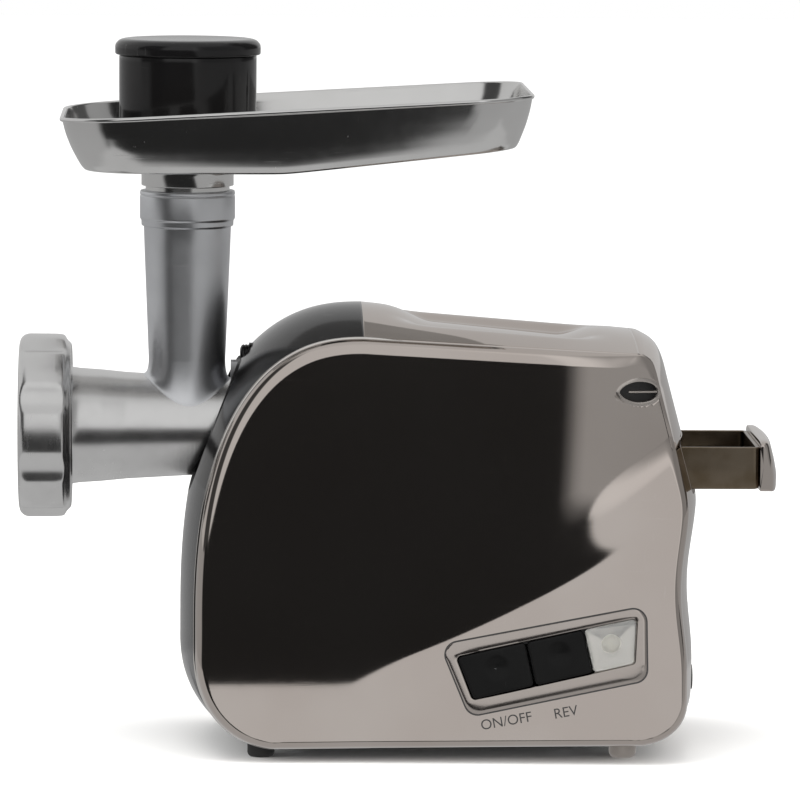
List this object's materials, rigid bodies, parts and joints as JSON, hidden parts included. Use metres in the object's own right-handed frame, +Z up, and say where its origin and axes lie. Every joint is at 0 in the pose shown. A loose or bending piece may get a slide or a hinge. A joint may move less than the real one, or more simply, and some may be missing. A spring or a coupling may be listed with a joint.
{
  "type": "electric meat grinder",
  "caption": "Electric meat grinder: chrome motor housing, feed tube and tray, auger head with ring nut, pusher, push keys and a rear accessory drawer.",
  "frame": {"origin": "on the floor, under the middle of the bounding box", "axes": "+X along the auger from the ring nut to the rear of the housing, +Y away from the control side, +Z up"},
  "size_m": [0.42, 0.1726, 0.3913],
  "materials": {
    "chrome_shell": "warm bright chrome plate with faint lengthwise brushing",
    "trim_chrome": "polished chrome bead",
    "black_gloss": "high gloss black",
    "bezel_paint": "warm metallic silver, satin",
    "head_aluminium": "machined and polished die-cast",
    "tray_steel": "polished stainless with fine scratches",
    "cutter_steel": "ground steel",
    "auger_cast": "die-cast, satin",
    "rubber": "matte black rubber",
    "foot_metal": "warm metallic, satin",
    "dark_plastic": "matte",
    "fan_plastic": "matte",
    "vent_metal": "chrome, darker inside",
    "drawer_metal": "bright metal-look",
    "lens": "clear moulded",
    "lamp": "clear dome",
    "hub_cast": "as cast",
    "steel": "plain steel",
    "gear_nylon": "natural nylon",
    "copper": "enamelled copper wire"
  },
  "bodies": {
    "root": {"left_side_panel": "chrome_shell", "right_side_panel": "chrome_shell", "left_trim": "trim_chrome", "right_trim": "trim_chrome", "front_cover": "black_gloss", "top_cover": "chrome_shell", "rear_cover": "chrome_shell", "base_plate": "dark_plastic", "left_vent": "vent_metal", "right_vent": "vent_metal", "front_feet": "rubber", "rear_feet": "foot_metal", "cord_inlet": "rubber", "control_bezel": "bezel_paint", "clear_lens": "lens", "indicator_lamp": "lamp", "switch_housing": "dark_plastic", "hub": "hub_cast", "drawer_bay": "dark_plastic", "stator": "steel", "field_coils": "copper", "ball_bearings": "steel", "motor_front_bracket": "hub_cast", "motor_rear_bracket": "hub_cast", "through_bolts": "steel", "brush_holders": "dark_plastic", "gearbox_front_plate": "hub_cast", "gearbox_rear_plate": "hub_cast", "gearbox_pillars": "steel", "idler_pins": "steel", "motor_cradle": "dark_plastic", "overload_breaker": "dark_plastic", "base_screws": "steel"},
    "rotor": {"armature": "copper", "motor_shaft": "steel", "fan": "fan_plastic"},
    "first_idler_gear": {"first_idler": "gear_nylon"},
    "second_idler_gear": {"second_idler": "steel"},
    "drive_out": {"output_gear": "steel", "output_shaft": "steel", "auger": "auger_cast", "knife": "cutter_steel"},
    "head": {"grinder_head": "head_aluminium", "grinding_plate": "cutter_steel"},
    "nut": {"ring_nut": "head_aluminium"},
    "tray": {"hopper_tray": "tray_steel"},
    "pusher_body": {"pusher": "black_gloss"},
    "lid": {"pusher_lid": "black_gloss"},
    "lock": {"lock_button": "black_gloss", "lock_spring": "steel"},
    "on_off": {"on_off_key": "black_gloss", "on_off_spring": "steel"},
    "reverse": {"reverse_key": "black_gloss", "reverse_spring": "steel"},
    "drawer": {"drawer_box": "drawer_metal", "drawer_front": "chrome_shell", "spare_plates": "cutter_steel"}
  },
  "joints": [
    {"name": "motor_spin", "type": "hinge", "parent": "root", "child": "rotor", "pos_m": [0.001, 0, 0.0634], "axis": [1, 0, 0], "continuous": true},
    {"name": "first_idler_spin", "type": "hinge", "parent": "root", "child": "first_idler_gear", "pos_m": [0.001, -0.006, 0.0989], "axis": [1, 0, 0], "continuous": true},
    {"name": "second_idler_spin", "type": "hinge", "parent": "root", "child": "second_idler_gear", "pos_m": [0.001, 0.025, 0.12611], "axis": [1, 0, 0], "continuous": true},
    {"name": "output_spin", "type": "hinge", "parent": "root", "child": "drive_out", "pos_m": [0.001, 0, 0.1765], "axis": [1, 0, 0], "continuous": true},
    {"name": "head_turn", "type": "hinge", "parent": "root", "child": "head", "pos_m": [-0.089, 0, 0.1765], "axis": [1, 0, 0], "range_deg": [-38, 0]},
    {"name": "nut_turn", "type": "hinge", "parent": "head", "child": "nut", "pos_m": [-0.194, 0, 0.1765], "axis": [-1, 0, 0], "range_deg": [0, 900]},
    {"name": "tray_lift", "type": "slide", "parent": "head", "child": "tray", "axis": [0, 0, 1], "range_m": [0, 0.05]},
    {"name": "pusher_lift", "type": "slide", "parent": "tray", "child": "pusher_body", "axis": [0, 0, 1], "range_m": [0, 0.11]},
    {"name": "lid_lift", "type": "slide", "parent": "pusher_body", "child": "lid", "axis": [0, 0, 1], "range_m": [0, 0.03]},
    {"name": "lock_press", "type": "slide", "parent": "root", "child": "lock", "axis": [1, 0, 0], "range_m": [0, 0.004], "stiffness_N_per_m": 600, "springref_m": -0.003},
    {"name": "on_off_press", "type": "slide", "parent": "root", "child": "on_off", "axis": [0, 1, 0], "range_m": [0, 0.0025], "stiffness_N_per_m": 400, "springref_m": -0.002},
    {"name": "reverse_press", "type": "slide", "parent": "root", "child": "reverse", "axis": [0, 1, 0], "range_m": [0, 0.0025], "stiffness_N_per_m": 400, "springref_m": -0.002},
    {"name": "drawer_slide", "type": "slide", "parent": "root", "child": "drawer", "axis": [1, 0, 0], "range_m": [-0.032, 0.05]}
  ],
  "couplings": [
    {"joint": "first_idler_spin", "follows": "motor_spin", "ratio": -0.2},
    {"joint": "second_idler_spin", "follows": "motor_spin", "ratio": 0.044444},
    {"joint": "output_spin", "follows": "motor_spin", "ratio": -0.011111}
  ]
}
